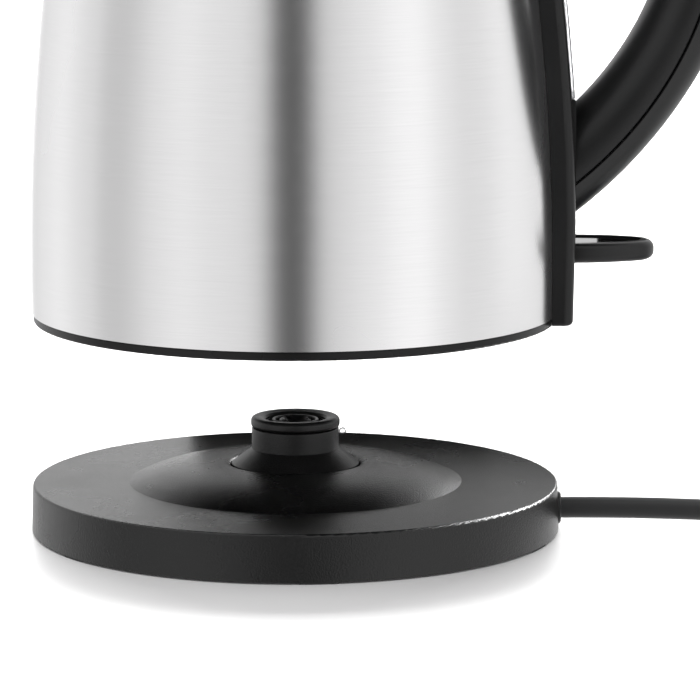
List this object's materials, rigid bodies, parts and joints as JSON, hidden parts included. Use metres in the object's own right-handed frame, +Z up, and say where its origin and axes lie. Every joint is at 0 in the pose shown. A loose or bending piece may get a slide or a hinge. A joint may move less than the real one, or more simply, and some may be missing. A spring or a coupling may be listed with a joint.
{
  "type": "electric kettle",
  "caption": "Cordless steel kettle with a hinged lid, spout, loop handle and rocker switch, held above its round power base with a central connector and a mains lead.",
  "frame": {"origin": "on the floor under the middle of the round power base, level with the undersides of its feet", "axes": "+Z up; +X from the kettle's middle towards the handle, the switch lever and the mains cord, so the spout points to -X; +Y to the left when looking from the spout to the handle"},
  "size_m": [0.3214, 0.1915, 0.2801],
  "materials": {
    "base_plastic": "fine-grained satin black",
    "cover_plastic": "plain moulded black",
    "foot_rubber": "matt dark grey",
    "screw_steel": "zinc plated",
    "connector_plastic": "satin black with soft highlights",
    "contact_brass": "bright, lightly tarnished",
    "spring_steel": "bright drawn wire",
    "wire_insulation": "heat-proof sleeving",
    "cord_sheath": "satin black sheath",
    "plug_plastic": "fine-grained black",
    "plug_metal": "nickel plated",
    "body_steel": "satin stainless steel",
    "vessel_steel": "drawn stainless sheet",
    "bottom_plastic": "semi-gloss black",
    "column_plastic": "semi-gloss black",
    "handle_plastic": "satin dark grey to black",
    "window_plastic": "smoked clear plastic",
    "silicone": "translucent silicone",
    "control_plastic": "natural heat-proof nylon",
    "bimetal": "snap disc sheet",
    "spreader_aluminium": "rolled sheet",
    "element_sheath": "brazed tube",
    "terminal_metal": "plated tab",
    "lever_plastic": "satin grey",
    "inlay_plastic": "high gloss black",
    "lid_plastic": "semi-gloss black",
    "lid_steel": "satin stainless steel",
    "filter_wire": "fine woven mesh"
  },
  "bodies": {
    "kettle": {"bimetal_discs": "bimetal", "body_shell": "body_steel", "bottom_moulding": "bottom_plastic", "bottom_screws": "screw_steel", "button_spring": "spring_steel", "control_housing": "control_plastic", "element_terminals": "terminal_metal", "filter_frame": "lid_plastic", "filter_mesh": "filter_wire", "handle_inner_shell": "handle_plastic", "handle_outer_shell": "handle_plastic", "handle_screws": "screw_steel", "heat_spreader": "spreader_aluminium", "heating_element": "element_sheath", "hinge_housing": "column_plastic", "inlet_live_ring": "contact_brass", "inlet_neutral_ring": "contact_brass", "inlet_pin": "contact_brass", "lid_hinge_pin": "spring_steel", "rear_column": "column_plastic", "spout": "body_steel", "steam_tube": "silicone", "switch_pivot_pin": "spring_steel", "top_collar": "column_plastic", "trip_spring": "spring_steel", "vessel_bottom_plate": "vessel_steel", "vessel_seal": "silicone", "water_window": "window_plastic", "window_gasket": "silicone"},
    "guide_collar": {"connector_collar": "connector_plastic"},
    "base": {"base_top_shell": "base_plastic", "base_bottom_cover": "cover_plastic", "base_feet": "foot_rubber", "base_screws": "screw_steel", "base_wires": "wire_insulation", "connector_body": "connector_plastic", "connector_core": "connector_plastic", "live_contact": "contact_brass", "neutral_contact": "contact_brass", "earth_contact": "contact_brass", "connector_clip": "spring_steel", "cord_bush": "cord_sheath", "cord_inside_base": "cord_sheath", "cord_clamp": "cover_plastic", "cord_clamp_screws": "screw_steel", "power_cord": "cord_sheath", "cord_coil": "cord_sheath", "cord_tail": "cord_sheath", "plug_body": "plug_plastic", "plug_pins": "plug_metal", "plug_earth_clips": "plug_metal"},
    "lid": {"lid_cap": "lid_steel", "lid_inner": "lid_plastic", "lid_seal": "silicone"},
    "catch": {"lid_catch": "lid_plastic"},
    "button": {"lid_button": "lid_plastic"},
    "lever": {"switch_lever": "lever_plastic", "switch_inlay": "inlay_plastic"},
    "link": {"trip_link": "control_plastic"}
  },
  "joints": [
    {"name": "kettle_lift", "type": "slide", "parent": "kettle", "child": "guide_collar", "axis": [0, 0, 1], "range_m": [0, 0.0512]},
    {"name": "base_swivel", "type": "hinge", "parent": "guide_collar", "child": "base", "pos_m": [0, 0, 0.035], "axis": [0, 0, 1], "continuous": true},
    {"name": "lid_hinge", "type": "hinge", "parent": "kettle", "child": "lid", "pos_m": [0.056, 0, 0.2711], "axis": [0, 1, 0], "range_deg": [0, 70]},
    {"name": "lid_button_press", "type": "slide", "parent": "kettle", "child": "button", "axis": [0, 0, -1], "range_m": [0, 0.003], "stiffness_N_per_m": 400, "deforming": ["button_spring"]},
    {"name": "lid_catch_slide", "type": "slide", "parent": "kettle", "child": "catch", "axis": [1, 0, 0], "range_m": [0, 0.003]},
    {"name": "switch_rocker", "type": "hinge", "parent": "kettle", "child": "lever", "pos_m": [0.076, 0, 0.08805], "axis": [0, 1, 0], "range_deg": [0, 12]},
    {"name": "trip_link_slide", "type": "slide", "parent": "kettle", "child": "link", "axis": [0, 0, 1], "range_m": [0, 0.0022]}
  ],
  "couplings": [
    {"joint": "lid_catch_slide", "follows": "lid_button_press", "ratio": 1},
    {"joint": "trip_link_slide", "follows": "switch_rocker", "m_per_rad": 0.01}
  ]
}
